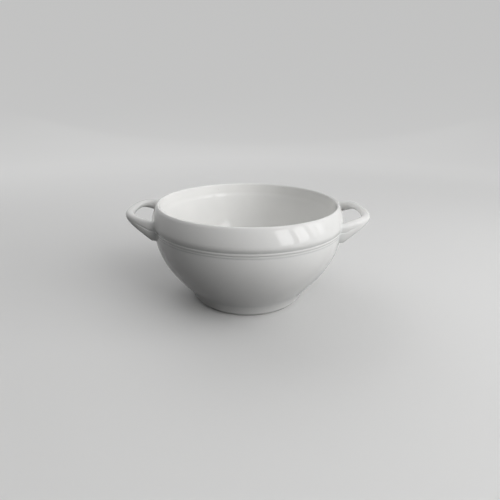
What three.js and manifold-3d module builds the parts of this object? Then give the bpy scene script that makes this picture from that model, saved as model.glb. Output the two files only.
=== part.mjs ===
// A white two-handled soup cup of glazed porcelain, in millimetres, with +Z up.
// The origin is the middle of the standing ring, on the table, and the handles lie along X.
// The pieces are the clay pieces that a maker lutes together with slip before firing.

import * as THREE from 'three';
import { mergeVertices } from 'three/addons/utils/BufferGeometryUtils.js';
import Module from 'manifold-3d';

// Heights
const CUP_HEIGHT = 68.2; // table to the crest of the rim
const COLLAR_HEIGHT = 13.3; // collar's seat to the crest of the rim
const COLLAR_ROUND = 3.2; // collar's seat to its widest line
const FOOT_HEIGHT = 10.6; // table to the crease between foot and bowl
const RECESS_DEPTH = 4.5; // hollow under the floor

// Outside radii
const STANDING_RADIUS = 38.4; // outer edge of the standing ring
const CREASE_RADIUS = 44.7; // top of the foot
const WALL_RADIUS = 64.0; // upright wall behind the beads
const COLLAR_SWELL = 1.1; // how far the collar's widest line stands proud of that wall
const RIM_INSET = 3.2; // how far the rim's crest lies inside it

// Thicknesses
const WALL = 3.7; // bowl and collar
const FLOOR = 5.0; // middle of the floor
const RIM_THICKNESS = 3.0; // round lip

// Curve of the bowl's side
const BOWL_FLARE = THREE.MathUtils.degToRad(42); // lean from upright as it leaves the foot
const LOWER_PULL = 9.5; // how far the curve follows that lean
const UPPER_PULL = 18.8; // how far it runs upright below the beads
const FLOOR_BLEND = 14.0; // sweep of the inside from the wall to the flat floor

// Foot ring
const UNDERSIDE_RADIUS = 36.5; // flat underside of the bowl, which sits on the foot
const LEDGE_WIDTH = 3.0; // flat seat for that underside
const STANDING_WIDTH = 4.0; // ring that touches the table
const STANDING_CHAMFER = 0.3; // eased outer edge of that ring
const FOOT_BOW = 0.53; // how far the foot's side bows out
const FOOT_LIP = 0.8; // step from the foot's top edge to the bowl

// Beads
const BEAD_PITCH = 1.8; // height that each bead takes up
const BEAD_HEIGHT = 1.5;
const BEAD_DEPTH = 0.6;

// Handles, as sizes of the loop's middle line and of its section
const HANDLE_REACH = 17.7; // upright wall to the outer edge of the grip
const ROOT_SPREAD = 25.2; // half the distance between the arms at the wall
const SHOULDER_SPREAD = 23.1; // the same at the grip
const CORNER_RADIUS = 13.8; // bend between arm and grip
const ROOT_DROP = 0.4; // collar's seat down to the middle of a root
const GRIP_RISE = 7.3; // how much higher than that the grip lies
const ROOT_WIDTH = 4.2;
const ROOT_DEPTH = 12.1;
const GRIP_WIDTH = 5.6;
const GRIP_DEPTH = 4.2;
const TAPER_DELAY = 1.5; // power that keeps the arms deep until they near the grip

// Luting slip between the handles' roots and the wall
const SLIP_THICKNESS = 0.8;
const SLIP_MARGIN = 0.8; // how far the slip squeezes out around a root

const FIT_GAP = 0.3; // clearance between pieces that meet on curved faces

// Fineness of the curves, as counts
const TURN_STEPS = 60;
const BOWL_STEPS = 9;
const FLOOR_STEPS = 4;
const FOOT_STEPS = 4;
const ROUND_STEPS = 4;
const RIM_STEPS = 8;
const BEAD_STEPS = 6;
const STRAP_STEPS = 34;
const STRAP_SIDES = 12;

// Levels and radii that follow from the sizes above
const collarSeat = CUP_HEIGHT - COLLAR_HEIGHT;
const beadBand = collarSeat - 2 * BEAD_PITCH;
const floorTop = RECESS_DEPTH + FLOOR;
const innerRadius = WALL_RADIUS - WALL;
const bowlStart = CREASE_RADIUS - FOOT_LIP;
const collarRadius = WALL_RADIUS + COLLAR_SWELL;
const rimRadius = WALL_RADIUS - RIM_INSET;
const beadSeat = WALL_RADIUS + FIT_GAP;
const slipSeat = Math.max(collarRadius, beadSeat + BEAD_DEPTH) + FIT_GAP;
const handleSeat = slipSeat + SLIP_THICKNESS + FIT_GAP;
const rootLevel = collarSeat - ROOT_DROP;

const wasm = await Module();
wasm.setup();

const at = (radius, height) => new THREE.Vector2(radius, height);

// Turns a closed profile, traced anticlockwise, about the cup's axis.
function turned(profile) {
  return new THREE.LatheGeometry(profile, TURN_STEPS).rotateX(Math.PI / 2);
}

// The bowl's visible side, from the foot up to the bead band.
function bowlSide() {
  const lean = at(Math.sin(BOWL_FLARE), Math.cos(BOWL_FLARE));
  const start = at(bowlStart, FOOT_HEIGHT);
  const end = at(WALL_RADIUS, beadBand);
  return new THREE.CubicBezierCurve(
    start,
    start.clone().addScaledVector(lean, LOWER_PULL),
    at(WALL_RADIUS, beadBand - UPPER_PULL),
    end,
  );
}

// The inside of the wall, one wall's thickness in from a side, from bottom to top.
function insideOf(side) {
  return Array.from({ length: BOWL_STEPS + 1 }, (_, i) => {
    const point = side.getPoint(i / BOWL_STEPS);
    const along = side.getTangent(i / BOWL_STEPS);
    return at(point.x - along.y * WALL, point.y + along.x * WALL);
  });
}

function bowlGeometry() {
  const side = bowlSide();
  const inside = insideOf(side);
  const bottom = inside[0];
  const corner = at(bottom.x - (bottom.y - floorTop) * Math.tan(BOWL_FLARE), floorTop);
  const sweep = new THREE.QuadraticBezierCurve(bottom, corner, at(corner.x - FLOOR_BLEND, floorTop));
  return turned([
    at(0, RECESS_DEPTH),
    at(UNDERSIDE_RADIUS, RECESS_DEPTH),
    ...side.getPoints(BOWL_STEPS),
    at(WALL_RADIUS, collarSeat),
    at(innerRadius, collarSeat),
    ...inside.reverse(),
    ...sweep.getPoints(FLOOR_STEPS).slice(1),
    at(0, floorTop),
  ]);
}

function footGeometry() {
  const low = at(STANDING_RADIUS, STANDING_CHAMFER);
  const high = at(CREASE_RADIUS, FOOT_HEIGHT);
  const run = high.clone().sub(low).normalize();
  const bow = low.clone().lerp(high, 0.5).add(at(run.y, -run.x).multiplyScalar(2 * FOOT_BOW));
  const side = new THREE.QuadraticBezierCurve(low, bow, high);
  const standing = at(STANDING_RADIUS - STANDING_WIDTH, 0);
  return turned([
    standing,
    at(STANDING_RADIUS - STANDING_CHAMFER, 0),
    ...side.getPoints(FOOT_STEPS),
    at(bowlStart + FIT_GAP, FOOT_HEIGHT),
    at(UNDERSIDE_RADIUS + FIT_GAP, RECESS_DEPTH),
    at(UNDERSIDE_RADIUS - LEDGE_WIDTH, RECESS_DEPTH),
    standing,
  ]);
}

function collarGeometry() {
  const widest = collarSeat + COLLAR_ROUND;
  const lipRadius = RIM_THICKNESS / 2;
  const lipLevel = CUP_HEIGHT - lipRadius;
  const lean = Math.atan2(collarRadius - rimRadius - lipRadius, lipLevel - widest);
  const swell = new THREE.EllipseCurve(
    WALL_RADIUS, widest, COLLAR_SWELL, COLLAR_ROUND, -Math.PI / 2, 0,
  );
  const lip = new THREE.EllipseCurve(
    rimRadius, lipLevel, lipRadius, lipRadius, lean, Math.PI + lean,
  );
  const seat = at(innerRadius, collarSeat);
  return turned([
    seat,
    ...swell.getPoints(ROUND_STEPS),
    ...lip.getPoints(RIM_STEPS),
    at(collarRadius - WALL, widest),
    seat,
  ]);
}

// One bead, a half-round ring seated on the wall. Place 0 is the lower bead and 1 the upper.
function beadGeometry(place) {
  const middle = beadBand + (place + 0.5) * BEAD_PITCH;
  const bulge = new THREE.EllipseCurve(
    beadSeat, middle, BEAD_DEPTH, BEAD_HEIGHT / 2, -Math.PI / 2, Math.PI / 2,
  );
  const section = bulge.getPoints(BEAD_STEPS);
  return turned([...section, section[0]]);
}

// Plan of a handle's middle line. The arms start inside the wall, where the stock is cut away.
function handlePlan() {
  const gripRadius = WALL_RADIUS + HANDLE_REACH - GRIP_WIDTH / 2;
  const root = at(Math.sqrt(handleSeat ** 2 - ROOT_SPREAD ** 2), ROOT_SPREAD);
  const shoulder = at(gripRadius, SHOULDER_SPREAD);
  const run = shoulder.clone().sub(root).normalize();
  const outward = at(-run.y, run.x);
  const inset = outward.dot(root) - CORNER_RADIUS;
  const reach = Math.sqrt((gripRadius - CORNER_RADIUS) ** 2 - inset ** 2);
  const bend = outward.clone().multiplyScalar(inset).addScaledVector(run, reach);
  const start = root.clone().addScaledVector(run, -root.x / 2);
  const armEnd = bend.clone().addScaledVector(outward, CORNER_RADIUS);
  return { gripRadius, root, outward, bend, start, armEnd };
}

// The whole middle line, from the front root round the grip to the back root.
function handlePath({ gripRadius, outward, bend, start, armEnd }) {
  const square = outward.angle();
  const turnEnd = bend.angle();
  return new THREE.Path()
    .moveTo(start.x, -start.y)
    .lineTo(armEnd.x, -armEnd.y)
    .absarc(bend.x, -bend.y, CORNER_RADIUS, -square, -turnEnd)
    .absarc(0, 0, gripRadius, -turnEnd, turnEnd)
    .absarc(bend.x, bend.y, CORNER_RADIUS, turnEnd, square)
    .lineTo(start.x, start.y);
}

// A strap of changing oval section along a path in plan. Grow widens it all round.
function strapGeometry(path, { gripRadius, root }, grow) {
  const positions = [];
  const index = [];
  const mix = THREE.MathUtils.lerp;
  for (let i = 0; i <= STRAP_STEPS; i += 1) {
    const centre = path.getPointAt(i / STRAP_STEPS);
    const along = path.getTangentAt(i / STRAP_STEPS);
    const share = THREE.MathUtils.clamp((centre.x - root.x) / (gripRadius - root.x), 0, 1);
    const halfWidth = mix(ROOT_WIDTH, GRIP_WIDTH, share) / 2 + grow;
    const halfDepth = mix(ROOT_DEPTH, GRIP_DEPTH, share ** TAPER_DELAY) / 2 + grow;
    const level = rootLevel + GRIP_RISE * share;
    for (let j = 0; j < STRAP_SIDES; j += 1) {
      const angle = (2 * Math.PI * j) / STRAP_SIDES;
      const out = halfWidth * Math.cos(angle);
      positions.push(centre.x - along.y * out, centre.y + along.x * out);
      positions.push(level + halfDepth * Math.sin(angle));
    }
  }
  const last = STRAP_STEPS * STRAP_SIDES;
  for (let j = 0; j < STRAP_SIDES; j += 1) {
    const next = (j + 1) % STRAP_SIDES;
    for (let ring = 0; ring < last; ring += STRAP_SIDES) {
      const ahead = ring + STRAP_SIDES;
      index.push(ring + j, ring + next, ahead + j);
      index.push(ring + next, ahead + next, ahead + j);
    }
    if (j > 0 && next > 0) {
      index.push(0, next, j);
      index.push(last, last + j, last + next);
    }
  }
  const geometry = new THREE.BufferGeometry();
  geometry.setAttribute('position', new THREE.Float32BufferAttribute(positions, 3));
  geometry.setIndex(index);
  return geometry;
}

// A plain drum about the cup's axis, taller than the cup, for cutting pieces back to the wall.
function drumGeometry(radius) {
  const drum = new THREE.CylinderGeometry(radius, radius, 2 * CUP_HEIGHT, TURN_STEPS);
  return drum.rotateX(Math.PI / 2).translate(0, 0, CUP_HEIGHT / 2);
}

// A closed mesh as a solid that can be joined and cut.
function solidOf(geometry) {
  const bare = geometry.clone();
  bare.deleteAttribute('normal');
  bare.deleteAttribute('uv');
  const merged = mergeVertices(bare);
  return new wasm.Manifold(new wasm.Mesh({
    numProp: 3,
    vertProperties: new Float32Array(merged.attributes.position.array),
    triVerts: new Uint32Array(merged.index.array),
  }));
}

function geometryOf(solid) {
  const { vertProperties, triVerts } = solid.getMesh();
  const geometry = new THREE.BufferGeometry();
  geometry.setAttribute('position', new THREE.BufferAttribute(vertProperties, 3));
  geometry.setIndex(new THREE.BufferAttribute(triVerts, 1));
  geometry.computeVertexNormals();
  return geometry;
}

// A handle along +X, cut to stand off the wall by the slip.
function handleGeometry() {
  const plan = handlePlan();
  const strap = strapGeometry(handlePath(plan), plan, 0);
  return geometryOf(solidOf(strap).subtract(solidOf(drumGeometry(handleSeat))));
}

// The slip behind one root of that handle. Side is -1 or 1, the sign of the root's Y.
function slipGeometry(side) {
  const plan = handlePlan();
  const { root, start } = plan;
  const middle = root.clone().lerp(start, 0.5);
  const beyond = root.clone().multiplyScalar(2).sub(middle);
  const arm = new THREE.LineCurve(at(middle.x, side * middle.y), at(beyond.x, side * beyond.y));
  const stock = solidOf(strapGeometry(arm, plan, SLIP_MARGIN));
  const shell = solidOf(drumGeometry(slipSeat + SLIP_THICKNESS)).subtract(solidOf(drumGeometry(slipSeat)));
  return geometryOf(stock.intersect(shell));
}

const glaze = () => new THREE.MeshStandardMaterial({ color: 0xf1f0ec, roughness: 0.12, metalness: 0 });
const slip = () => new THREE.MeshStandardMaterial({ color: 0xecebe6, roughness: 0.2, metalness: 0 });

function piece(name, geometry, material) {
  const mesh = new THREE.Mesh(geometry, material);
  mesh.name = name;
  return mesh;
}

// One handle along +X with its two slip pads. Places name the pads at -Y and at +Y.
function handleGroup(side, places) {
  const group = new THREE.Group();
  group.add(piece(`${side}_handle`, handleGeometry(), glaze()));
  group.add(piece(`${side}_${places[0]}_slip`, slipGeometry(-1), slip()));
  group.add(piece(`${side}_${places[1]}_slip`, slipGeometry(1), slip()));
  return group;
}

const cup = new THREE.Group();
cup.add(piece('foot_ring', footGeometry(), glaze()));
cup.add(piece('bowl', bowlGeometry(), glaze()));
cup.add(piece('lower_bead', beadGeometry(0), glaze()));
cup.add(piece('upper_bead', beadGeometry(1), glaze()));
cup.add(piece('collar', collarGeometry(), glaze()));
cup.add(handleGroup('right', ['front', 'back']));
const leftHandle = handleGroup('left', ['back', 'front']);
leftHandle.rotation.z = Math.PI;
cup.add(leftHandle);

export default cup;
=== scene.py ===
"""Looks of a white two-handled soup cup of glazed porcelain, on a pale floor in soft studio light.

Lengths are in metres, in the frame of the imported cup: +Z is up, +X goes through the right handle
and the front is -Y. Profiles are drawn as (radius, level) points and turned about the cup's axis.
"""

import logging
import math
from collections.abc import Callable
from dataclasses import dataclass
from enum import Enum
from functools import cache, cached_property

import bmesh
import bpy
import numpy as np
from mathutils import Matrix, Vector


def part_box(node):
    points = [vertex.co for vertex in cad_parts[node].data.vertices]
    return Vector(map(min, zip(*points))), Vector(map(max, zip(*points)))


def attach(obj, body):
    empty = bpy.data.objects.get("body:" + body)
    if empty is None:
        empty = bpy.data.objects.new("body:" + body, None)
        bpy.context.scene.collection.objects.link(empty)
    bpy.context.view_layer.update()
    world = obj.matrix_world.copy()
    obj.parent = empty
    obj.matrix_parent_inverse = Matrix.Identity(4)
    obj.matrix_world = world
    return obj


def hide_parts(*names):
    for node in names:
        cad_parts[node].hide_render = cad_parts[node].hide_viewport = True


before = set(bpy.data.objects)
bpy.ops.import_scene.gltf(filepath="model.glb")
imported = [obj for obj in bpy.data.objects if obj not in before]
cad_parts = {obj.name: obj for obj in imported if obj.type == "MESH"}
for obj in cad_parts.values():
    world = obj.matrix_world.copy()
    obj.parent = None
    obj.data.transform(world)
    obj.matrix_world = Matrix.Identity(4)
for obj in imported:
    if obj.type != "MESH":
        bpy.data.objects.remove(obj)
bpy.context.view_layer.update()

LOG = logging.getLogger("soup_cup")

MM = 0.001
TURN_STEPS = 240  # faces round the cup
MERGE = 1e-7  # points closer than this are one
SHARP = math.radians(38)  # edges that turn more than this stay crisp

Colour = tuple[float, float, float, float]
Mesh = bmesh.types.BMesh
Plug = bpy.types.NodeSocket
Plugs = bpy.types.bpy_prop_collection
Shape = Callable[[float], Vector]  # gives the point at each angle round a section


def eased(share: float) -> float:
    """Share of a run with short steps at both ends."""
    return share * share * (3 - 2 * share)


def mix(start: float, end: float, share: float) -> float:
    """Value at a share of the way from start to end."""
    return start + (end - start) * share


def upwards(lean: float = 0.0) -> Vector:
    """Upward direction in (radius, level), which leans outwards by an angle."""
    return Vector((math.sin(lean), math.cos(lean)))


@dataclass(frozen=True)
class Sweep:
    """A cubic curve in a plane, from start to end, with the two points that shape it."""

    start: Vector
    lead: Vector
    arrive: Vector
    end: Vector

    @classmethod
    def between(
        cls, start: Vector, away: Vector, end: Vector, into: Vector, pulls: tuple[float, float]
    ) -> "Sweep":
        """Joins two points smoothly.

        Args:
            start: First point.
            away: Direction in which the curve leaves it.
            end: Last point.
            into: Direction in which the curve comes into it.
            pulls: How far the curve follows each direction.

        Returns:
            The curve.
        """
        lead = start + away.normalized() * pulls[0]
        arrive = end - into.normalized() * pulls[1]
        return cls(start, lead, arrive, end)

    def point(self, share: float) -> Vector:
        """Point at a share of the curve.

        Args:
            share: 0 at the start and 1 at the end.

        Returns:
            The point.
        """
        rest = 1 - share
        return (
            self.start * rest**3
            + self.lead * 3 * rest**2 * share
            + self.arrive * 3 * rest * share**2
            + self.end * share**3
        )

    def along(self, share: float) -> Vector:
        """Direction of the curve at a share of it.

        Args:
            share: 0 at the start and 1 at the end.

        Returns:
            The direction, with a length of 1.
        """
        rest = 1 - share
        slope = (
            (self.lead - self.start) * rest**2
            + (self.arrive - self.lead) * 2 * rest * share
            + (self.end - self.arrive) * share**2
        )
        return slope.normalized()

    def points(self, steps: int, first: float = 0.0, last: float = 1.0) -> list[Vector]:
        """Points from a first to a last share, closer together at both ends.

        Args:
            steps: Number of steps.
            first: Share at which the stretch starts.
            last: Share at which it ends.

        Returns:
            The points, steps + 1 of them.
        """
        return [self.point(mix(first, last, eased(i / steps))) for i in range(steps + 1)]


def turned(profile: list[Vector], steps: int = TURN_STEPS, closed: bool = True) -> Mesh:
    """Turns a half profile about the cup's axis.

    Args:
        profile: Points of the outline, as (radius, level). One that lies on the axis closes there.
        steps: Faces round the axis.
        closed: Whether the last point joins the first.

    Returns:
        The mesh with its faces outwards.
    """
    mesh = bmesh.new()
    verts = [mesh.verts.new((point.x, 0, point.y)) for point in profile]
    following = verts[1:] + verts[:1] if closed else verts[1:]
    edges = [mesh.edges.new(pair) for pair in zip(verts, following)]
    bmesh.ops.spin(
        mesh,
        geom=verts + edges,
        cent=(0, 0, 0),
        axis=(0, 0, 1),
        angle=2 * math.pi,
        steps=steps,
        use_merge=True,
    )
    bmesh.ops.dissolve_degenerate(mesh, dist=MERGE, edges=mesh.edges)
    bmesh.ops.remove_doubles(mesh, verts=mesh.verts, dist=MERGE)
    bmesh.ops.recalc_face_normals(mesh, faces=mesh.faces)
    return mesh


def shown(mesh: Mesh, name: str, material: bpy.types.Material) -> bpy.types.Object:
    """Puts a mesh into the scene.

    Args:
        mesh: The mesh, which is freed.
        name: Name of the object.
        material: Its finish.

    Returns:
        The object, with smooth faces.
    """
    data = bpy.data.meshes.new(name)
    mesh.to_mesh(data)
    mesh.free()
    data.shade_smooth()
    data.materials.append(material)
    made = bpy.data.objects.new(name, data)
    bpy.context.scene.collection.objects.link(made)
    return made


def set_in_frame(
    mesh: Mesh, name: str, material: bpy.types.Material, node: str
) -> bpy.types.Object:
    """Makes a finished mesh a piece of the cup.

    Args:
        mesh: The mesh, which is freed.
        name: Name of the piece.
        material: Its finish.
        node: The solid that the piece stands for.

    Returns:
        The piece.
    """
    piece = shown(mesh, name, material)
    piece.data.set_sharp_from_angle(angle=SHARP)
    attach(piece, "root")
    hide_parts(node)
    LOG.info("%s stands for %s, %d faces", name, node, len(piece.data.polygons))
    return piece


# Shader groups


class Socket(Enum):
    """Kinds of socket that the shader groups have."""

    VALUE = "NodeSocketFloat"
    COLOUR = "NodeSocketColor"
    PLACE = "NodeSocketVector"


class NodeSheet:
    """One node tree, with short ways to add nodes to it and wire them."""

    def __init__(self, tree: bpy.types.NodeTree) -> None:
        """Takes the tree to draw in."""
        self.tree = tree

    def add(self, kind: str, inputs: dict | None = None, **settings: object) -> bpy.types.Node:
        """Adds a node.

        Args:
            kind: Type of the node.
            inputs: Socket names or numbers, each with a value or with the socket that feeds it.
            settings: Properties of the node.

        Returns:
            The node.
        """
        node = self.tree.nodes.new(kind)
        for name, value in settings.items():
            setattr(node, name, value)
        for key, value in (inputs or {}).items():
            if isinstance(value, Plug):
                self.tree.links.new(value, node.inputs[key])
            else:
                node.inputs[key].default_value = value
        return node

    def math(self, operation: str, *values: object) -> Plug:
        """Result of a sum on values or sockets."""
        return self.add("ShaderNodeMath", dict(enumerate(values)), operation=operation).outputs[0]

    def blend(self, share: object, first: object, second: object) -> Plug:
        """Colour at a share of the way from the first colour to the second."""
        inputs = {0: share, 6: first, 7: second}  # the node's sockets for colours
        return self.add("ShaderNodeMix", inputs, data_type="RGBA").outputs[2]

    def ramp(self, value: object, low: object, high: object) -> Plug:
        """Smooth rise from 0 at the low value to 1 at the high one."""
        inputs = {"Value": value, "From Min": low, "From Max": high}
        return self.add("ShaderNodeMapRange", inputs, interpolation_type="SMOOTHSTEP").outputs[0]

    def noise(self, place: object, size: float, detail: float) -> Plug:
        """Cloudy values whose features are about as wide as a size in metres."""
        inputs = {"Vector": place, "Scale": 1 / size, "Detail": detail}
        return self.add("ShaderNodeTexNoise", inputs).outputs["Fac"]

    def radius(self, place: object) -> Plug:
        """Distance from the cup's axis."""
        flat = self.add("ShaderNodeVectorMath", {0: place, 1: (1, 1, 0)}, operation="MULTIPLY")
        return self.length(flat.outputs["Vector"])

    def length(self, place: object) -> Plug:
        """Distance from the origin."""
        return self.add("ShaderNodeVectorMath", {0: place}, operation="LENGTH").outputs["Value"]

    def seen(self) -> Plug:
        """Tells what the camera sees from light on its way round.

        Returns:
            1 for what the camera sees, also in a reflection, and 0 otherwise.
        """
        path = self.add("ShaderNodeLightPath").outputs
        mirrored = self.math("MAXIMUM", path["Is Glossy Ray"], path["Is Transmission Ray"])
        return self.math("MAXIMUM", path["Is Camera Ray"], mirrored)


def new_material(name: str) -> tuple[bpy.types.Material, NodeSheet]:
    """Makes a material.

    Args:
        name: Its name.

    Returns:
        The material and its empty node tree.
    """
    material = bpy.data.materials.new(name)
    material.use_nodes = True
    material.node_tree.nodes.clear()
    return material, NodeSheet(material.node_tree)


class SurfaceEffect:
    """A shader group that several finishes place with values of their own."""

    name = ""
    inputs: dict[str, Socket] = {}
    outputs: dict[str, Socket] = {}

    def wire(self, sheet: NodeSheet, given: Plugs) -> dict:
        """Draws the inside of the group.

        Args:
            sheet: The group's tree.
            given: The group's inputs.

        Returns:
            The socket that feeds each output.
        """
        raise NotImplementedError

    def tree(self) -> bpy.types.NodeTree:
        """Builds the group the first time that it is asked for.

        Returns:
            The group.
        """
        if self.name in bpy.data.node_groups:
            return bpy.data.node_groups[self.name]
        tree = bpy.data.node_groups.new(self.name, "ShaderNodeTree")
        for side, sockets in (("INPUT", self.inputs), ("OUTPUT", self.outputs)):
            for name, kind in sockets.items():
                tree.interface.new_socket(name=name, in_out=side, socket_type=kind.value)
        sheet = NodeSheet(tree)
        made = self.wire(sheet, sheet.add("NodeGroupInput").outputs)
        sheet.add("NodeGroupOutput", made)
        return tree

    def place(self, sheet: NodeSheet, **values: object) -> Plugs:
        """Sets the group into a material.

        Args:
            sheet: The material's tree.
            values: Input names in lower case, each with a value or a socket.

        Returns:
            The group's outputs.
        """
        inputs = {key.capitalize(): value for key, value in values.items()}
        return sheet.add("ShaderNodeGroup", inputs, node_tree=self.tree()).outputs


class LevelBand(SurfaceEffect):
    """A soft band round the cup at one level, where glaze gathers or thins and shade is painted in."""

    name = "level_band"
    inputs = {
        "Place": Socket.PLACE,
        "Level": Socket.VALUE,
        "Reach": Socket.VALUE,
        "Inner": Socket.VALUE,
    }
    outputs = {"Mask": Socket.VALUE}

    def wire(self, sheet: NodeSheet, given: Plugs) -> dict:
        """Draws the band from the distance to the level, outside the inner radius only.

        Args:
            sheet: The group's tree.
            given: The group's inputs.

        Returns:
            The socket that feeds the mask.
        """
        split = sheet.add("ShaderNodeSeparateXYZ", {"Vector": given["Place"]})
        away = sheet.math("ABSOLUTE", sheet.math("SUBTRACT", split.outputs["Z"], given["Level"]))
        outside = sheet.math("GREATER_THAN", sheet.radius(given["Place"]), given["Inner"])
        return {"Mask": sheet.math("MULTIPLY", sheet.ramp(away, given["Reach"], 0.0), outside)}


class RootBand(SurfaceEffect):
    """Where a handle nears the wall, glaze gathers in the corner and shade is painted in."""

    name = "root_band"
    inputs = {"Place": Socket.PLACE, "Radius": Socket.VALUE, "Reach": Socket.VALUE}
    outputs = {"Mask": Socket.VALUE}

    def wire(self, sheet: NodeSheet, given: Plugs) -> dict:
        """Draws the band from the distance to the cup's axis."""
        away = sheet.math("SUBTRACT", sheet.radius(given["Place"]), given["Radius"])
        return {"Mask": sheet.ramp(away, given["Reach"], 0.0)}


class GlazeTone(SurfaceEffect):
    """White of the glaze, drifting slightly over the body, and darker and cooler in the pool bands, for
    thicker glaze and painted shade.
    """

    name = "glaze_tone"
    inputs = {
        "Place": Socket.PLACE,
        "Body": Socket.COLOUR,
        "Drift": Socket.COLOUR,
        "Pooled": Socket.COLOUR,
        "Pooling": Socket.VALUE,
    }
    outputs = {"Colour": Socket.COLOUR}
    drift_size = 24 * MM
    drift_range = (0.35, 0.7)  # cloud values between which the drift sets in
    pool_size = 6 * MM
    pool_range = (0.1, 0.6)  # cloud values between which a pool is broken up

    def wire(self, sheet: NodeSheet, given: Plugs) -> dict:
        """Mixes the drift and the pools into the body's white.

        Args:
            sheet: The group's tree.
            given: The group's inputs.

        Returns:
            The socket that feeds the colour.
        """
        clouds = sheet.ramp(sheet.noise(given["Place"], self.drift_size, detail=3.0), *self.drift_range)
        drifting = sheet.blend(clouds, given["Body"], given["Drift"])
        uneven = sheet.ramp(sheet.noise(given["Place"], self.pool_size, detail=2.0), *self.pool_range)
        # painted shade and thicker glaze: the pool colour goes in where the bands lie, broken up by clouds
        pooling = sheet.math("MULTIPLY", given["Pooling"], uneven)
        return {"Colour": sheet.blend(pooling, drifting, given["Pooled"])}


class IronSpecks(SurfaceEffect):
    """Rare pin-sized specks in the glaze."""

    name = "iron_specks"
    inputs = {
        "Place": Socket.PLACE,
        "Ground": Socket.COLOUR,
        "Speck": Socket.COLOUR,
        "Rarity": Socket.VALUE,
    }
    outputs = {"Colour": Socket.COLOUR}
    spacing = 3.2 * MM
    size = 0.11  # radius of a speck, as a share of the spacing
    core = 1 / 3  # share of that radius with the full colour

    def wire(self, sheet: NodeSheet, given: Plugs) -> dict:
        """Keeps a few cells of a cell pattern and draws a dot in the middle of each.

        Args:
            sheet: The group's tree.
            given: The group's inputs.

        Returns:
            The socket that feeds the colour.
        """
        inputs = {"Vector": given["Place"], "Scale": 1 / self.spacing}
        cells = sheet.add("ShaderNodeTexVoronoi", inputs)
        dot = sheet.ramp(cells.outputs["Distance"], self.size, self.size * self.core)
        chance = sheet.add("ShaderNodeSeparateColor", {"Color": cells.outputs["Color"]}).outputs[0]
        kept = sheet.math("LESS_THAN", chance, given["Rarity"])
        return {"Colour": sheet.blend(sheet.math("MULTIPLY", dot, kept), given["Ground"], given["Speck"])}


class GlazeGloss(SurfaceEffect):
    """Roughness of the glaze, with faintly duller clouds from washing and handling."""

    name = "glaze_gloss"
    inputs = {"Place": Socket.PLACE, "Smooth": Socket.VALUE, "Dull": Socket.VALUE}
    outputs = {"Roughness": Socket.VALUE}
    cloud_size = 15 * MM
    cloud_range = (0.3, 0.75)  # cloud values between which the gloss dulls

    def wire(self, sheet: NodeSheet, given: Plugs) -> dict:
        """Moves between the two roughnesses with a cloudy pattern.

        Args:
            sheet: The group's tree.
            given: The group's inputs.

        Returns:
            The socket that feeds the roughness.
        """
        low, high = self.cloud_range
        inputs = {
            "Value": sheet.noise(given["Place"], self.cloud_size, detail=4.0),
            "From Min": low,
            "From Max": high,
            "To Min": given["Smooth"],
            "To Max": given["Dull"],
        }
        return {"Roughness": sheet.add("ShaderNodeMapRange", inputs).outputs[0]}


class GlazeRipple(SurfaceEffect):
    """Height of the glaze: slow waves from the brush and a finer orange-peel texture."""

    name = "glaze_ripple"
    inputs = {"Place": Socket.PLACE, "Waves": Socket.VALUE, "Peel": Socket.VALUE}
    outputs = {"Height": Socket.VALUE}
    wave_size = 11 * MM
    peel_size = 1.6 * MM

    def wire(self, sheet: NodeSheet, given: Plugs) -> dict:
        """Adds the waves and the peel, each with its own height in metres.

        Args:
            sheet: The group's tree.
            given: The group's inputs.

        Returns:
            The socket that feeds the height.
        """
        swell = sheet.noise(given["Place"], self.wave_size, detail=1.0)
        grain = sheet.noise(given["Place"], self.peel_size, detail=1.0)
        waves = sheet.math("MULTIPLY", swell, given["Waves"])
        peel = sheet.math("MULTIPLY", grain, given["Peel"])
        return {"Height": sheet.math("ADD", waves, peel)}


# Finishes


@dataclass(frozen=True)
class Band:
    """A level or radius where the glaze is painted darker and cooler, for thicker glaze and for painted
    shade, and how far the pool reaches.
    """

    level: float
    reach: float
    inner: float = 0.0  # radius inside which there is no pool


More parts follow.
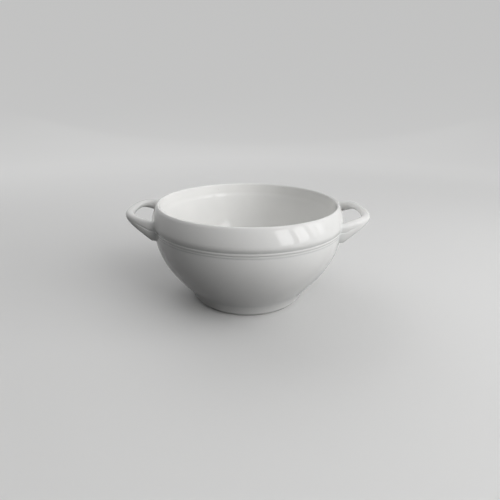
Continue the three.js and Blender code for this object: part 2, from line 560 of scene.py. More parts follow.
@dataclass(frozen=True)
class Glaze:
    """Glossy clear glaze over white porcelain."""

    name: str
    body: Colour = (0.860, 0.857, 0.842, 1)
    drift: Colour = (0.842, 0.841, 0.827, 1)
    # pool colour: darker, cooler white for thicker glaze and painted shade in the grooves, the crease and
    # at the handle roots
    pooled: Colour = (0.775, 0.783, 0.771, 1)
    speck: Colour = (0.56, 0.53, 0.48, 1)
    rarity: float = 0.006
    smooth: float = 0.045
    dull: float = 0.085
    waves: float = 0.035 * MM
    peel: float = 0.003 * MM
    refraction: float = 1.52
    pool_shades: tuple[Band, ...] = ()
    root: Band | None = None

    def pooling(self, sheet: NodeSheet, place: Plug) -> object:
        """How much glaze has gathered and how much shade is painted, from all the bands together.

        Args:
            sheet: The material's tree.
            place: Coordinates on the piece.

        Returns:
            A mask, or 0 where there is no band.
        """
        masks = [
            LevelBand().place(
                sheet, place=place, level=band.level, reach=band.reach, inner=band.inner
            )["Mask"]
            for band in self.pool_shades
        ]
        if self.root:
            found = RootBand().place(sheet, place=place, radius=self.root.level, reach=self.root.reach)
            masks.append(found["Mask"])
        total = 0.0
        for mask in masks:
            total = sheet.math("MAXIMUM", mask, total)
        return total

    def skin(self, sheet: NodeSheet, place: Plug) -> tuple:
        """Colour, roughness and normal of the glaze.

        Args:
            sheet: The material's tree.
            place: Coordinates on the piece.

        Returns:
            The three sockets.
        """
        tone = GlazeTone().place(
            sheet,
            place=place,
            body=self.body,
            drift=self.drift,
            pooled=self.pooled,
            pooling=self.pooling(sheet, place),
        )
        specks = IronSpecks().place(
            sheet, place=place, ground=tone["Colour"], speck=self.speck, rarity=self.rarity
        )
        gloss = GlazeGloss().place(sheet, place=place, smooth=self.smooth, dull=self.dull)
        ripple = GlazeRipple().place(sheet, place=place, waves=self.waves, peel=self.peel)
        bump = sheet.add("ShaderNodeBump", {"Height": ripple["Height"], "Distance": 1.0})
        return specks["Colour"], gloss["Roughness"], bump.outputs["Normal"]

    def material(self) -> bpy.types.Material:
        """Glazes a material.

        Returns:
            The material.
        """
        material, sheet = new_material(self.name)
        place = sheet.add("ShaderNodeTexCoord").outputs["Object"]
        self.close(sheet, *self.skin(sheet, place))
        return material

    def close(self, sheet: NodeSheet, colour: object, roughness: object, normal: object) -> None:
        """Feeds the shader and the material's output.

        Args:
            sheet: The material's tree.
            colour: Socket of the base colour.
            roughness: Socket of the roughness.
            normal: Socket of the normal.
        """
        inputs = {
            "Base Color": colour,
            "Roughness": roughness,
            "Normal": normal,
            "IOR": self.refraction,
        }
        shader = sheet.add("ShaderNodeBsdfPrincipled", inputs)
        sheet.add("ShaderNodeOutputMaterial", {"Surface": shader.outputs["BSDF"]})


@dataclass(frozen=True)
class WipedFoot(Glaze):
    """The same glaze, wiped off the standing edge, where bare biscuit shows."""

    biscuit: Colour = (0.66, 0.63, 0.575, 1)
    grime: Colour = (0.36, 0.345, 0.32, 1)
    wipe_level: float = 0.55 * MM
    wipe_wander: float = 0.5 * MM
    wander_size: float = 7 * MM
    grain_size: float = 0.5 * MM
    grain_range: tuple[float, float] = (0.35, 0.75)  # cloud values between which grime sets in
    rub_level: float = 0.2 * MM  # below this the table has rubbed grime in
    rub: float = 0.5  # how much of the grime's colour shows at most
    biscuit_roughness: float = 0.75

    def material(self) -> bpy.types.Material:
        """Glazes a material and bares the biscuit below the wiped line.

        Returns:
            The material.
        """
        material, sheet = new_material(self.name)
        place = sheet.add("ShaderNodeTexCoord").outputs["Object"]
        colour, roughness, normal = self.skin(sheet, place)
        level = sheet.add("ShaderNodeSeparateXYZ", {"Vector": place}).outputs["Z"]
        drift = sheet.noise(place, self.wander_size, detail=2.0)
        wander = sheet.math("MULTIPLY", drift, self.wipe_wander)
        height = sheet.math("SUBTRACT", level, wander)
        bare = sheet.ramp(height, self.wipe_level - self.wipe_wander / 2, 0.0)
        grain = sheet.ramp(sheet.noise(place, self.grain_size, detail=3.0), *self.grain_range)
        rubbed = sheet.math("MULTIPLY", grain, sheet.ramp(level, self.rub_level, 0.0))
        clay = sheet.blend(sheet.math("MULTIPLY", rubbed, self.rub), self.biscuit, self.grime)
        inputs = {0: bare, 2: roughness, 3: self.biscuit_roughness}  # the node's sockets for values
        dull = sheet.add("ShaderNodeMix", inputs).outputs[0]
        self.close(sheet, sheet.blend(bare, colour, clay), dull, normal)
        return material


# The cup


@dataclass(frozen=True)
class CupLines:
    """Levels and radii that the pieces share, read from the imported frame."""

    height: float
    seat: float
    pitch: float
    foot_height: float
    recess: float
    collar_radius: float
    wall_radius: float
    crease_radius: float
    reach: float
    groove_drops: tuple[float, float, float] = (0.2 * MM, 0.6 * MM, 0.6 * MM)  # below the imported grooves

    @classmethod
    def from_frame(cls) -> "CupLines":
        """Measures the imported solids.

        Returns:
            The lines.
        """
        collar_low, collar_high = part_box("collar")
        bowl_low, bowl_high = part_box("bowl")
        foot_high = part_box("foot_ring")[1]
        return cls(
            height=collar_high.z,
            seat=collar_low.z,
            pitch=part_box("upper_bead")[0].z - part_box("lower_bead")[0].z,
            foot_height=foot_high.z,
            recess=bowl_low.z,
            collar_radius=collar_high.x,
            wall_radius=bowl_high.x,
            crease_radius=foot_high.x,
            reach=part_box("right_handle")[1].x,
        )

    def groove(self, place: int) -> float:
        """Level of a groove: 0 is under the lower bead, 1 between the beads, 2 under the collar."""
        return self.seat - (2 - place) * self.pitch - self.groove_drops[place]

    @property
    def crease(self) -> Vector:
        """Point where the foot's side and the bowl's side would meet."""
        return Vector((self.crease_radius, self.foot_height))


@dataclass(frozen=True)
class GlazePoolShade:
    """Where the glaze gathers on the cup and shade is painted in, and how far each pool reaches."""

    lines: CupLines
    crease_reach: float = 2.5 * MM
    crease_skin: float = 4 * MM  # no pool lies further in from the crease than this
    under_reach: float = 0.8 * MM
    between_reach: float = 0.4 * MM
    seat_reach: float = 1.2 * MM
    wall_skin: float = 2 * MM  # no pool lies further in from the upright wall than this
    root_reach: float = 4 * MM

    @property
    def crease(self) -> Band:
        """Between the foot and the bowl."""
        inner = self.lines.crease_radius - self.crease_skin
        return Band(self.lines.foot_height, self.crease_reach, inner)

    @property
    def under_beads(self) -> Band:
        """In the groove under the lower bead."""
        return self.on_wall(self.lines.groove(0), self.under_reach)

    @property
    def between_beads(self) -> Band:
        """In the groove between the beads."""
        return self.on_wall(self.lines.groove(1), self.between_reach)

    @property
    def seat(self) -> Band:
        """Under the collar."""
        return self.on_wall(self.lines.seat, self.seat_reach)

    @property
    def root(self) -> Band:
        """Where the handles meet the wall."""
        return Band(self.lines.collar_radius, self.root_reach)

    def on_wall(self, level: float, reach: float) -> Band:
        """A pool on the outside of the upright wall."""
        return Band(level, reach, self.lines.wall_radius - self.wall_skin)


@dataclass(frozen=True)
class Bowl:
    """The round bowl between the foot and the beads."""

    lines: CupLines
    flare: float = math.radians(40.6)  # lean from upright as the side leaves the foot
    lower_pull: float = 9.7 * MM
    upper_pull: float = 18.9 * MM
    wall: float = 5.21 * MM  # where the collar starts
    floor: float = 5.0 * MM
    floor_sweep: float = 14 * MM
    heel: tuple[float, float] = (3.7 * MM, 2.9 * MM)  # crease to the bottom of the inside's curve
    heel_lean: float = math.radians(49)
    inner_lean: float = math.radians(7.5)  # lean of the inside where the collar starts
    inner_pulls: tuple[float, float] = (18.2 * MM, 14 * MM)
    seam_share: float = 0.09  # part of the side's curve that the foot's fillet takes
    underside_radius: float = 30.5 * MM
    side_steps: int = 44
    floor_steps: int = 18
    outline_steps: int = 60  # on the outline that the handles are fitted to

    @property
    def side(self) -> Sweep:
        """Curve of the outside.

        Returns:
            The curve from the crease up to the beads.
        """
        end = Vector((self.lines.wall_radius, self.lines.groove(0)))
        pulls = (self.lower_pull, self.upper_pull)
        return Sweep.between(self.lines.crease, upwards(self.flare), end, upwards(), pulls)

    @property
    def foot_seam(self) -> Vector:
        """Where the foot's fillet has run out into the side."""
        return self.side.point(self.seam_share)

    @property
    def underside_seam(self) -> Vector:
        """Where the fillet inside the foot has run out into the underside."""
        return Vector((self.underside_radius, self.lines.recess))

    @property
    def collar_seam(self) -> Vector:
        """Where the inside passes into the collar."""
        return Vector((self.lines.wall_radius - self.wall, self.lines.seat))

    @property
    def collar_lean(self) -> Vector:
        """Upward direction of the inside at that seam."""
        return upwards(self.inner_lean)

    def outside(self) -> list[Vector]:
        """The whole outside, from the crease up to the beads."""
        return self.side.points(self.outline_steps)

    def inside(self) -> list[Vector]:
        """The inside, with a wide sweep from the wall into the floor.

        Returns:
            Points from the collar's seam down to the middle of the floor.
        """
        crease = self.lines.crease
        heel = Vector((crease.x - self.heel[0], crease.y + self.heel[1]))
        down = -upwards(self.heel_lean)
        wall = Sweep.between(self.collar_seam, -self.collar_lean, heel, down, self.inner_pulls)
        level = self.lines.recess + self.floor
        corner = heel + down * ((heel.y - level) / -down.y)
        flat = corner - Vector((self.floor_sweep, 0))
        even = 2 / 3  # of the way to the corner, which rounds it like a parabola
        sweep = Sweep(heel, heel.lerp(corner, even), flat.lerp(corner, even), flat)
        floor = sweep.points(self.floor_steps)
        return wall.points(self.side_steps) + floor[1:] + [Vector((0, level))]

    def build(self, glaze: Glaze) -> bpy.types.Object:
        """Turns the bowl and glazes it.

        Args:
            glaze: Its finish.

        Returns:
            The bowl.
        """
        lines = self.lines
        profile = [Vector((0, lines.recess)), self.underside_seam]
        profile += self.side.points(self.side_steps, first=self.seam_share)
        profile.append(Vector((lines.wall_radius, lines.groove(2))))
        profile += self.inside()
        return set_in_frame(turned(profile), "bowl_body", glaze.material(), "bowl")


@dataclass(frozen=True)
class FootRing:
    """The flared ring that the bowl stands on, with a soft crease above it."""

    bowl: Bowl
    standing_radius: float = 38.3 * MM
    standing_width: float = 3.9 * MM
    edge: float = 0.7 * MM  # rounding of the standing ring
    toe_lean: float = math.radians(43)  # lean of the side at its bottom
    waist: tuple[float, float] = (2.6 * MM, 3.5 * MM)  # standing ring to the most upright place
    waist_lean: float = math.radians(18)
    toe_pull: float = 1.2 * MM
    crease_pulls: tuple[float, float] = (3.4 * MM, 2.6 * MM)
    inner_lean: float = math.radians(14)
    inner_pull: float = 2.2 * MM
    edge_steps: int = 8
    side_steps: int = 16
    crease_steps: int = 24

    def outside(self) -> list[Vector]:
        """The outside, with a round toe and a soft waist.

        Returns:
            Points from the standing ring up to the bowl.
        """
        bowl = self.bowl
        flat = Vector((self.standing_radius - self.edge, 0))
        toe = Vector((self.standing_radius, self.edge / 2))
        waist = Vector((self.standing_radius + self.waist[0], self.waist[1]))
        low = upwards(self.toe_lean)
        high = upwards(self.waist_lean)
        rounding = (self.edge / 2, self.edge / 4)
        edge = Sweep.between(flat, Vector((1, 0)), toe, low, rounding)
        rise = Sweep.between(toe, low, waist, high, (self.toe_pull, self.toe_pull))
        seam = bowl.side.along(bowl.seam_share)
        crease = Sweep.between(waist, high, bowl.foot_seam, seam, self.crease_pulls)
        lower = edge.points(self.edge_steps) + rise.points(self.side_steps)[1:]
        return lower + crease.points(self.crease_steps)[1:]

    def hollow(self) -> list[Vector]:
        """The inside, which runs out into the underside.

        Returns:
            Points from the underside of the bowl down to the standing ring.
        """
        inner = self.standing_radius - self.standing_width
        wall = Vector((inner, self.edge))
        flat = Vector((inner + self.edge, 0))
        down = -upwards(-self.inner_lean)
        outwards = Vector((1, 0))
        pulls = (self.inner_pull, self.inner_pull)
        drop = Sweep.between(self.bowl.underside_seam, outwards, wall, down, pulls)
        edge = Sweep.between(wall, down, flat, outwards, (self.edge / 2, self.edge / 2))
        return drop.points(self.side_steps) + edge.points(self.edge_steps)[1:]

    def build(self, glaze: Glaze) -> bpy.types.Object:
        """Turns the foot and glazes it down to the wiped edge."""
        mesh = turned(self.outside() + self.hollow())
        return set_in_frame(mesh, "foot_turned", glaze.material(), "foot_ring")


@dataclass(frozen=True)
class Collar:
    """The upright band above the beads, which leans in to a round lip."""

    lines: CupLines
    bowl: Bowl
    crest_inset: float = 3.5 * MM  # upright wall to the crest of the rim
    outer_roll: tuple[float, float] = (2.1 * MM, 2.6 * MM)  # crest to where the outside starts
    inner_roll: tuple[float, float] = (0.9 * MM, 1.4 * MM)  # crest to where the inside starts
    heel_out: float = 0.38 * MM  # upright wall to the foot of the collar
    heel_lean: float = math.radians(26)  # how far the foot of the collar rolls under
    widest: float = 2.15 * MM  # seat to the widest line
    shoulder: tuple[float, float] = (0.14 * MM, 1.4 * MM)  # widest line to the start of the side
    low_lean: float = math.radians(12)
    high_lean: float = math.radians(24)
    cove: tuple[float, float] = (0.10 * MM, 5.6 * MM)  # end of the lip to the hollow inside it
    step: tuple[float, float] = (0.57 * MM, 3.7 * MM)  # hollow to the bowl's wall
    inner_lean: float = math.radians(1.5)
    roll_pull: float = 0.8 * MM
    turn_pull: float = 0.5 * MM
    lip_pulls: tuple[float, float] = (1.3 * MM, 0.9 * MM)
    tuck_pulls: tuple[float, float] = (0.5 * MM, 0.75 * MM)
    cove_pulls: tuple[float, float] = (2.2 * MM, 1.0 * MM)
    step_pull: float = 1.25 * MM
    roll_steps: int = 16
    turn_steps: int = 8
    slope_steps: int = 20
    lip_steps: int = 14
    tuck_steps: int = 12
    cove_steps: int = 14
    step_steps: int = 16
    run_shares: tuple[float, ...] = (0.5, 0.9, 1)  # points on the straight run down to the bowl

    @property
    def crest(self) -> Vector:
        """Highest point of the rim."""
        return Vector((self.lines.wall_radius - self.crest_inset, self.lines.height))

    def outside(self) -> list[Vector]:
        """The outside, which rolls out from its foot and then leans in.

        Returns:
            Points from the groove above the beads up to the lip.
        """
        lines = self.lines
        heel = Vector((lines.wall_radius + self.heel_out, lines.groove(2)))
        wide = Vector((lines.collar_radius, lines.seat + self.widest))
        side = wide + Vector((-self.shoulder[0], self.shoulder[1]))
        lip = self.lip_roll()[0]
        leaning = upwards(-self.low_lean)
        reach = (lip - side).length / 3  # a third from each end, as on a straight run
        rolled = upwards(self.heel_lean)
        roll = Sweep.between(heel, rolled, wide, upwards(), (self.roll_pull, self.roll_pull))
        turn = Sweep.between(wide, upwards(), side, leaning, (self.turn_pull, self.turn_pull))
        slope = Sweep.between(side, leaning, lip, upwards(-self.high_lean), (reach, reach))
        lower = roll.points(self.roll_steps) + turn.points(self.turn_steps)[1:]
        return lower + slope.points(self.slope_steps)[1:]

    def lip_roll(self) -> list[Vector]:
        """The outer half of the lip, rolled gently.

        Returns:
            Points from the outside up to the crest.
        """
        outer = self.crest + Vector((self.outer_roll[0], -self.outer_roll[1]))
        leaning = upwards(-self.high_lean)
        roll = Sweep.between(outer, leaning, self.crest, Vector((-1, 0)), self.lip_pulls)
        return roll.points(self.lip_steps)

    def lip_tuck(self) -> list[Vector]:
        """The inner half of the lip, turned over tightly.

        Returns:
            Points from the crest down to the inside.
        """
        inner = self.crest - Vector(self.inner_roll)
        down = -upwards(-self.inner_lean)
        tuck = Sweep.between(self.crest, Vector((-1, 0)), inner, down, self.tuck_pulls)
        return tuck.points(self.tuck_steps)

    def inside(self) -> list[Vector]:
        """The inside, with a soft hollow and a step under the lip.

        Returns:
            Points from the lip down to the bowl.
        """
        start = self.lip_tuck()[-1]
        hollow = start + Vector((self.cove[0], -self.cove[1]))
        down = -upwards()
        leaning = -upwards(-self.inner_lean)
        cove = Sweep.between(start, leaning, hollow, down, self.cove_pulls)
        foot = hollow - Vector(self.step)
        pulls = (self.step_pull, self.step_pull)
        step = Sweep.between(hollow, down, foot, -self.bowl.collar_lean, pulls)
        run = [foot.lerp(self.bowl.collar_seam, share) for share in self.run_shares]
        return cove.points(self.cove_steps) + step.points(self.step_steps)[1:] + run

    def build(self, glaze: Glaze) -> bpy.types.Object:
        """Turns the collar and glazes it.

        Args:
            glaze: Its finish.

        Returns:
            The collar.
        """
        lip = self.lip_roll()[1:] + self.lip_tuck()[1:]
        mesh = turned(self.outside() + lip + self.inside()[1:])
        return set_in_frame(mesh, "collar_band", glaze.material(), "collar")


@dataclass(frozen=True)
class BeadBand:
    """The two fine beads under the collar."""

    lines: CupLines
    heel_out: float  # upright wall to the foot of the collar
    between_out: float = 0.12 * MM  # upright wall to the groove between the beads
    depths: tuple[float, float] = (0.09 * MM, 0.21 * MM)  # lower and upper bead
    fullness: float = 0.85  # below 1 is fuller than a sine wave
    steps: int = 14

    def bulge(self, place: int) -> list[Vector]:
        """Outside of a bead.

        Args:
            place: 0 for the lower bead and 1 for the upper one.

        Returns:
            Points from its lower groove to its upper one.
        """
        levels = (self.lines.groove(place), self.lines.groove(place + 1))
        grooves = (0.0, self.between_out, self.heel_out)
        outline = []
        for i in range(self.steps + 1):
            share = i / self.steps
            swell = self.depths[place] * math.sin(math.pi * share) ** self.fullness
            out = mix(grooves[place], grooves[place + 1], share) + swell
            outline.append(Vector((self.lines.wall_radius + out, mix(*levels, share))))
        return outline

    def section(self, place: int) -> list[Vector]:
        """A bead's whole outline, closed along the wall.

        Args:
            place: 0 for the lower bead and 1 for the upper one.

        Returns:
            The outline, without a corner that the bulge already has.
        """
        outline = self.bulge(place)
        wall = [Vector((self.lines.wall_radius, outline[end].y)) for end in (-1, 0)]
        return outline + [corner for corner in wall if (corner - outline[0]).length > MERGE]

    def build(self, glaze: Glaze) -> list[bpy.types.Object]:
        """Turns both beads and glazes them.

        Args:
            glaze: Their finish.

        Returns:
            The lower bead and the upper one.
        """
        material = glaze.material()
        names = ("lower_bead", "upper_bead")
        return [
            set_in_frame(turned(self.section(place)), f"{name}_ring", material, name)
            for place, name in enumerate(names)
        ]


class Side(Enum):
    """The two handles, each with the turn that takes the right one there."""

    RIGHT = 0.0
    LEFT = math.pi


@dataclass(frozen=True)
class LoopHandle:
    """A strap bent into a wide loop, with a fillet of slip at each root.

    The loop is worked out in its +Y half, from the root to the middle of the grip.
    """

    lines: CupLines
    wall_at: Callable[[float], float]  # outside radius of the wall at a level
    root_radius: float = 66.5 * MM
    root_spread: float = 26.7 * MM  # half the distance between the arms at the wall
    root_lean: float = math.radians(-16.6)  # the arms draw together as they leave the wall
    pulls: tuple[float, float] = (16.1 * MM, 15.9 * MM)  # how far the plan follows arm and grip
    root_edges: tuple[float, float] = (-7.05 * MM, 5.75 * MM)  # collar's seat to the lower and upper edge
    grip_edges: tuple[float, float] = (5.0 * MM, 8.9 * MM)
    edge_bends: tuple[float, float] = (0.96, 0.70)  # below 1 an edge rises early
    widths: tuple[float, float] = (3.95 * MM, 5.8 * MM)  # root and grip
    width_bend: float = 0.6
    squareness: tuple[float, float] = (2.4, 2.2)  # root and grip, where 2 is an oval section
    fillet: float = 1.2 * MM
    line_depth: float = 0.22 * MM  # fine line cut along the outer face of an arm
    line_width: float = 0.45 * MM
    line_rise: float = 0.6 * MM  # above the middle of the arm
    line_end: float = 0.75  # share of the way to the grip where it has faded out
    arm: float = 7 * MM  # stretch of the strap that the wall's shape reaches into
    deepest: float = 16 * MM  # how far inside the wall an arm is followed
    halvings: int = 26  # steps of the search for where the strap meets the wall
    plan_steps: int = 200
    ring_points: int = 96
    arm_rings: int = 9
    loop_rings: int = 38
    fillet_rings: int = 12

    @cached_property
    def plan(self) -> Sweep:
        """Middle line in plan.

        Returns:
            The curve from the root to the middle of the grip.
        """
        root = Vector((math.sqrt(self.root_radius**2 - self.root_spread**2), self.root_spread))
        away = Vector((math.cos(self.root_lean), math.sin(self.root_lean)))
        grip = Vector((self.lines.reach - self.widths[1] / 2, 0))
        return Sweep.between(root, away, grip, Vector((0, -1)), self.pulls)

    @cached_property
    def measured(self) -> tuple[np.ndarray, np.ndarray]:
        """Measures the plan.

        Returns:
            Shares of the plan, and the length along it at each.
        """
        shares = np.linspace(0, 1, self.plan_steps + 1)
        points = np.array([self.plan.point(share) for share in shares])
        steps = np.linalg.norm(np.diff(points, axis=0), axis=1)
        return shares, np.concatenate([[0], np.cumsum(steps)])

    def middle(self, length: float) -> tuple[Vector, Vector]:
        """Place on the middle line in plan.

        Args:
            length: Distance along it from the root. It may be negative, inside the wall.

        Returns:
            The point and the direction square to the line, away from the loop's inside.
        """
        shares, lengths = self.measured
        share = float(np.interp(length, lengths, shares))
        along = self.plan.along(share)
        centre = self.plan.point(share) + along * min(length, 0.0)
        return centre, Vector((-along.y, along.x))

    def skin(self, length: float, angle: float, grow: float = 0.0) -> Vector:
        """Point on the strap's surface.

        Args:
            length: Distance along the middle line from the root.
            angle: Place round the section, from the outer face upwards.
            grow: Distance by which the point stands off the strap.

        Returns:
            The point in the cup's frame.
        """
        centre, out = self.middle(length)
        share = (centre.x - self.plan.start.x) / (self.plan.end.x - self.plan.start.x)
        share = min(max(share, 0.0), 1.0)
        half_width = mix(*self.widths, share**self.width_bend) / 2
        low, high = (
            mix(first, last, share**bend)
            for first, last, bend in zip(self.root_edges, self.grip_edges, self.edge_bends)
        )
        half_depth = (high - low) / 2
        level = self.lines.seat + (high + low) / 2
        cosine = math.cos(angle)
        sine = math.sin(angle)
        power = mix(*self.squareness, share)
        size = (abs(cosine / half_width) ** power + abs(sine / half_depth) ** power) ** (-1 / power)
        across = size * cosine
        up = size * sine
        normal = Vector((
            math.copysign(abs(across / half_width) ** (power - 1) / half_width, cosine),
            math.copysign(abs(up / half_depth) ** (power - 1) / half_depth, sine),
        )).normalized()
        across += grow * normal.x - self.cut(share, up) * max(normal.x, 0.0)
        up += grow * normal.y
        place = centre + out * across
        return Vector((place.x, place.y, level + up))

    def cut(self, share: float, up: float) -> float:
        """Depth of the fine line on an arm's outer face, which fades towards the grip."""
        fade = 1 - eased(min(share / self.line_end, 1.0))
        return self.line_depth * fade * math.exp(-(((up - self.line_rise) / self.line_width) ** 2))

    def landing(self, angle: float, grow: float) -> float:
        """Distance along the middle line at which a line of the strap's surface meets the wall.

        Args:
            angle: Place round the section.
            grow: Distance by which the line stands off the strap.

        Returns:
            The distance from the root, found by halving.
        """
        low, high = -self.deepest, self.arm
        for _ in range(self.halvings):
            half = (low + high) / 2
            point = self.skin(half, angle, grow)
            if math.hypot(point.x, point.y) < self.wall_at(point.z):
                low = half
            else:
                high = half
        return high

    def ring(self, mesh: Mesh, shape: Shape) -> list[bmesh.types.BMEdge]:
        """Adds one closed ring of points.

        Args:
            mesh: The mesh to add to.
            shape: Gives the point at each angle round the section.

        Returns:
            The ring's edges.
        """
        made = bmesh.ops.create_circle(mesh, segments=self.ring_points, radius=1.0)["verts"]
        for vert in made:
            vert.co = shape(math.atan2(vert.co.y, vert.co.x))
        return list({edge for vert in made for edge in vert.link_edges})

    def skinned(self, shapes: list[Shape]) -> Mesh:
        """Draws a skin over a row of rings.

        Args:
            shapes: Shape of each ring.

        Returns:
            The mesh, open at both ends.
        """
        mesh = bmesh.new()
        rings = [self.ring(mesh, shape) for shape in shapes]
        for first, second in zip(rings, rings[1:]):
            bmesh.ops.bridge_loops(mesh, edges=first + second)
        return mesh

    def closed(self, mesh: Mesh, side: Side) -> Mesh:
        """Caps a mesh's open ends and turns it to its side of the cup.

        Args:
            mesh: The mesh, as for the right handle.
            side: The side that it goes to.

        Returns:
            The mesh with its faces outwards.
        """
        bmesh.ops.holes_fill(mesh, edges=mesh.edges, sides=0)
        turn = Matrix.Rotation(side.value, 3, "Z")
        bmesh.ops.rotate(mesh, cent=(0, 0, 0), matrix=turn, verts=mesh.verts)
        bmesh.ops.recalc_face_normals(mesh, faces=mesh.faces)
        return mesh

    def loop(self) -> Mesh:
        """The whole strap between its two fillets.

        Returns:
            The mesh, open at both roots.
        """
        end = float(self.measured[1][-1])

        @cache
        def start(a: float) -> float:
            """Where the strap comes out of the fillet."""
            return self.landing(a, 0.0) + self.fillet

        def on_arm(share: float) -> Shape:
            """A ring near the root, which follows the shape of the wall less and less."""
            return lambda a: self.skin(mix(start(a), self.arm, share), a)

        def beyond(share: float) -> Shape:
            """A ring square to the strap."""
            return lambda a: self.skin(mix(self.arm, end, share), a)

        shapes = [on_arm((i / self.arm_rings) ** 2) for i in range(self.arm_rings + 1)]
        shapes += [beyond((i + 1) / self.loop_rings) for i in range(self.loop_rings)]
        mesh = self.skinned(shapes)
        geometry = mesh.verts[:] + mesh.edges[:] + mesh.faces[:]
        bmesh.ops.mirror(mesh, geom=geometry, matrix=Matrix.Identity(4), merge_dist=MERGE, axis="Y")
        return mesh

    def root_fillet(self, place: float) -> Mesh:
        """The slip round one root, hollowed from the wall to the strap.

        Args:
            place: 1 for the root at +Y and -1 for the one at -Y.

        Returns:
            The mesh, open at both ends.
        """

        def turned_in(share: float) -> Shape:
            """A ring of the hollow.

            Args:
                share: 0 at the wall and 1 at the strap.

            Returns:
                The ring's shape.
            """
            off = self.fillet * (1 - math.sin(share * math.pi / 2))
            along = self.fillet * (1 - math.cos(share * math.pi / 2))
            return lambda a: self.skin(self.landing(a, off) + along, a, off)

        def sunk(a: float) -> Vector:
            """The hidden edge, just inside the wall."""
            return self.skin(self.landing(a, self.fillet) - self.fillet / 2, a, self.fillet)

        shapes = [sunk] + [turned_in(eased(i / self.fillet_rings)) for i in range(self.fillet_rings + 1)]
        mesh = self.skinned(shapes)
        bmesh.ops.scale(mesh, vec=(1, place, 1), verts=mesh.verts)
        return mesh

    def build(self, side: Side, glaze: Glaze, slip: Glaze) -> list[bpy.types.Object]:
        """Makes one handle and its two fillets, and glazes them.

        Args:
            side: Side of the cup.
            glaze: Finish of the strap.
            slip: Finish of the fillets.

        Returns:
            The strap and the two fillets.
        """
        name = side.name.lower()
        strap = self.closed(self.loop(), side)
        pieces = [set_in_frame(strap, f"{name}_loop", glaze.material(), f"{name}_handle")]
        front = -1.0 if side is Side.RIGHT else 1.0
        material = slip.material()
        for word, place in (("front", front), ("back", -front)):
            fillet = self.closed(self.root_fillet(place), side)
            node = f"{name}_{word}_slip"
            pieces.append(set_in_frame(fillet, f"{name}_{word}_fillet", material, node))
        return pieces


def wall_reader(*outlines: list[Vector]) -> Callable[[float], float]:
    """Makes a function that gives the wall's outside radius at a level.

    Args:
        outlines: Stretches of the outside, each as (radius, level) points, from the lowest up.

    Returns:
        The function.
    """
    points = [point for outline in outlines for point in outline]
    levels = np.array([point.y for point in points])
    radii = np.array([point.x for point in points])
    return lambda level: float(np.interp(level, levels, radii))


# The studio


@dataclass(frozen=True)
class Pane:
    """A soft lamp, given by where in the surroundings it hangs and how much of them it fills."""

    name: str
    turn: float  # degrees to the right of the front
    lift: float  # degrees above the floor
    width: float  # degrees, as the cup sees it
    height: float
    radiance: float
    roll: float = 0.0  # degrees that it hangs askew
    mirrored: bool = True  # whether the glaze shows it
    distance: float = 0.9

    def hang(self, target: Vector) -> bpy.types.Object:
        """Makes the lamp and turns it to the cup.

        Args:
            target: Point that it faces.

        Returns:
            The lamp.
        """
        turn = math.radians(self.turn)
        lift = math.radians(self.lift)
        level = math.cos(lift)
        back = Vector((math.sin(turn) * level, -math.cos(turn) * level, math.sin(lift)))
        light = bpy.data.lights.new(self.name, "AREA")
        light.shape = "RECTANGLE"
        light.size = 2 * self.distance * math.tan(math.radians(self.width) / 2)
        light.size_y = 2 * self.distance * math.tan(math.radians(self.height) / 2)
        light.energy = math.pi * light.size * light.size_y * self.radiance
        lamp = bpy.data.objects.new(self.name, light)
        facing = back.to_track_quat("Z", "Y").to_matrix()
        askew = Matrix.Rotation(math.radians(self.roll), 3, "Z")
        place = Matrix.Translation(target + back * self.distance)
        lamp.matrix_world = place @ (facing @ askew).to_4x4()
        lamp.visible_camera = False
        lamp.visible_glossy = self.mirrored
        bpy.context.scene.collection.objects.link(lamp)
        return lamp


@dataclass(frozen=True)
class SoftLamp(Pane):
    """A lamp that lights the cup but doesn't show in the glaze."""

    mirrored: bool = False
    distance: float = 1.0


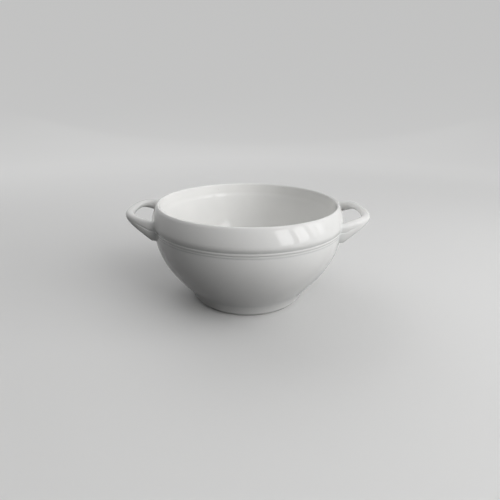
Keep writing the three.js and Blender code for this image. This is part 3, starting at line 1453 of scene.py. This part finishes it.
@dataclass(frozen=True)
class Studio:
    """A pale floor that sweeps up all round, and soft lamps, most of them at the right."""

    floor_radius: float = 0.8
    cove_radius: float = 1.0
    wall_height: float = 1.8
    floor_colour: Colour = (0.78, 0.78, 0.775, 1)
    floor_bounce: Colour = (0.04, 0.04, 0.04, 1)  # what it sends back to the cup
    far_colour: Colour = (0.10, 0.10, 0.099, 1)  # far off, where the lamps hang
    glow: Colour = (0.52, 0.52, 0.518, 1)  # what the camera sees there besides
    glow_reach: tuple[float, float] = (0.25, 0.75)
    sky: Colour = (0.45, 0.45, 0.45, 1)
    fill: float = 0.01
    roughness: float = 0.85
    turn_steps: int = 96
    cove_steps: int = 16
    panes: tuple[Pane, ...] = (
        Pane("wide_pane", 41, 17, 15, 28, 3.3, roll=8),
        Pane("middle_pane", 61.5, 17, 12, 28, 2.9, roll=8),
        Pane("narrow_pane", 77, 17, 4, 28, 2.15, roll=8),
        Pane("far_pane", 87, 17, 8, 28, 1.8, roll=8),
        SoftLamp("soft_key", 68, 26, 50, 40, 1.42),
        SoftLamp("low_key", 66, 6, 50, 10, 1.5),
        SoftLamp("front_key", 30, 28, 50, 40, 0.60),
        SoftLamp("high_key", 60, 55, 50, 40, 1.28),
        SoftLamp("left_soft", -75, 40, 50, 40, 0.16),
        SoftLamp("left_high", -95, 64, 50, 36, 0.54),
        SoftLamp("back_left", -140, 40, 50, 40, 1.04),
        SoftLamp("back_high", 180, 50, 60, 40, 0.69),
        SoftLamp("back_low", 180, 12, 70, 14, 0.8),
    )

    def cove(self) -> bpy.types.Object:
        """Turns the floor and the wall round it in one sweep.

        Returns:
            The cove, with its faces inwards.
        """
        centre = Vector((self.floor_radius, self.cove_radius))
        turns = [mix(math.pi, math.pi / 2, i / self.cove_steps) for i in range(self.cove_steps + 1)]
        rise = [centre + upwards(turn) * self.cove_radius for turn in turns]
        top = rise[-1] + Vector((0, self.wall_height - self.cove_radius))
        mesh = turned([Vector((0, 0)), *rise, top], self.turn_steps, closed=False)
        bmesh.ops.reverse_faces(mesh, faces=mesh.faces)
        cove = shown(mesh, "pale_cove", self.floor_paint())
        return cove

    def floor_paint(self) -> bpy.types.Material:
        """Mixes matt pale paint, which the cup gets less light from than the camera sees.

        Returns:
            The paint.
        """
        material, sheet = new_material("pale_paint")
        seen = sheet.seen()
        place = sheet.add("ShaderNodeTexCoord").outputs["Object"]
        far = sheet.ramp(sheet.length(place), *self.glow_reach)
        paint = sheet.blend(far, self.floor_colour, self.far_colour)
        glow = sheet.blend(sheet.math("MULTIPLY", seen, far), (0, 0, 0, 1), self.glow)
        inputs = {
            "Base Color": sheet.blend(seen, self.floor_bounce, paint),
            "Emission Color": glow,
            "Emission Strength": 1.0,
            "Roughness": self.roughness,
        }
        shader = sheet.add("ShaderNodeBsdfPrincipled", inputs)
        sheet.add("ShaderNodeOutputMaterial", {"Surface": shader.outputs["BSDF"]})
        return material

    def surround(self) -> bpy.types.World:
        """Sets faint light all round, where the camera and reflections see a plain pale tone.

        Returns:
            The surroundings.
        """
        world = bpy.data.worlds.new("studio")
        world.use_nodes = True
        world.node_tree.nodes.clear()
        sheet = NodeSheet(world.node_tree)
        soft = sheet.add("ShaderNodeBackground", {"Color": (1, 1, 1, 1), "Strength": self.fill})
        plain = sheet.add("ShaderNodeBackground", {"Color": self.sky, "Strength": 1.0})
        both = sheet.add("ShaderNodeMixShader", {0: sheet.seen(), 1: soft.outputs[0], 2: plain.outputs[0]})
        sheet.add("ShaderNodeOutputWorld", {"Surface": both.outputs[0]})
        bpy.context.scene.world = world
        return world

    def build(self, target: Vector) -> None:
        """Sets up the floor, the surroundings and the lamps.

        Args:
            target: Point that the lamps face.
        """
        self.cove()
        self.surround()
        for pane in self.panes:
            pane.hang(target)


@dataclass(frozen=True)
class PhotoCamera:
    """The camera at the photograph's viewing angle, close in front of the cup and a little above it."""

    location: Vector = Vector((2.7 * MM, -236.1 * MM, 125.4 * MM))
    yaw: float = math.radians(-0.31)  # to the right of straight ahead
    pitch: float = math.radians(21.41)  # downwards
    roll: float = math.radians(0.49)
    lens: float = 25.2  # millimetres, as the sensor
    sensor: float = 36
    shift: tuple[float, float] = (0.0005, -0.004)
    nearest: float = 10 * MM  # what lies closer isn't seen

    def place(self) -> bpy.types.Object:
        """Makes the camera and looks through it.

        Returns:
            The camera.
        """
        data = bpy.data.cameras.new("photo_camera")
        data.sensor_width = self.sensor
        data.lens = self.lens
        data.shift_x, data.shift_y = self.shift
        data.clip_start = self.nearest
        level = math.cos(self.pitch)
        ahead = Vector((math.sin(self.yaw) * level, math.cos(self.yaw) * level, -math.sin(self.pitch)))
        right = Vector((math.cos(self.yaw), -math.sin(self.yaw), 0))
        up = right.cross(ahead)
        rolled = Matrix.Rotation(-self.roll, 3, ahead)
        turn = Matrix((rolled @ right, rolled @ up, -ahead)).transposed()
        camera = bpy.data.objects.new("photo_camera", data)
        camera.matrix_world = Matrix.Translation(self.location) @ turn.to_4x4()
        bpy.context.scene.collection.objects.link(camera)
        bpy.context.scene.camera = camera
        return camera


def main() -> None:
    """Builds the cup piece by piece, then the studio and the camera."""
    logging.basicConfig(level=logging.INFO, format="%(name)s: %(message)s")
    lines = CupLines.from_frame()
    bowl = Bowl(lines)
    collar = Collar(lines, bowl)
    beads = BeadBand(lines, collar.heel_out)
    # bands of thicker glaze and painted shade: the crease, the grooves, under the collar, and the handle
    # roots with their fillets
    pool_shades = GlazePoolShade(lines)
    bowl.build(Glaze("bowl_glaze", pool_shades=(pool_shades.crease, pool_shades.under_beads)))
    FootRing(bowl).build(WipedFoot("foot_glaze", pool_shades=(pool_shades.crease,)))
    beads.build(Glaze("bead_glaze", pool_shades=(pool_shades.under_beads, pool_shades.between_beads, pool_shades.seat)))
    collar.build(Glaze("collar_glaze", pool_shades=(pool_shades.seat,)))
    outside = wall_reader(
        bowl.outside(), beads.bulge(0), beads.bulge(1), collar.outside(), collar.lip_roll()
    )
    handle = LoopHandle(lines, outside)
    for side in Side:
        word = side.name.lower()
        strap = Glaze(f"{word}_handle_glaze", root=pool_shades.root)
        slip = Glaze(f"{word}_slip_glaze", root=pool_shades.root)
        handle.build(side, strap, slip)
    Studio().build(Vector((0, 0, lines.height / 2)))
    PhotoCamera().place()
    bpy.context.scene.view_settings.view_transform = "Standard"


if __name__ == "__main__":
    main()
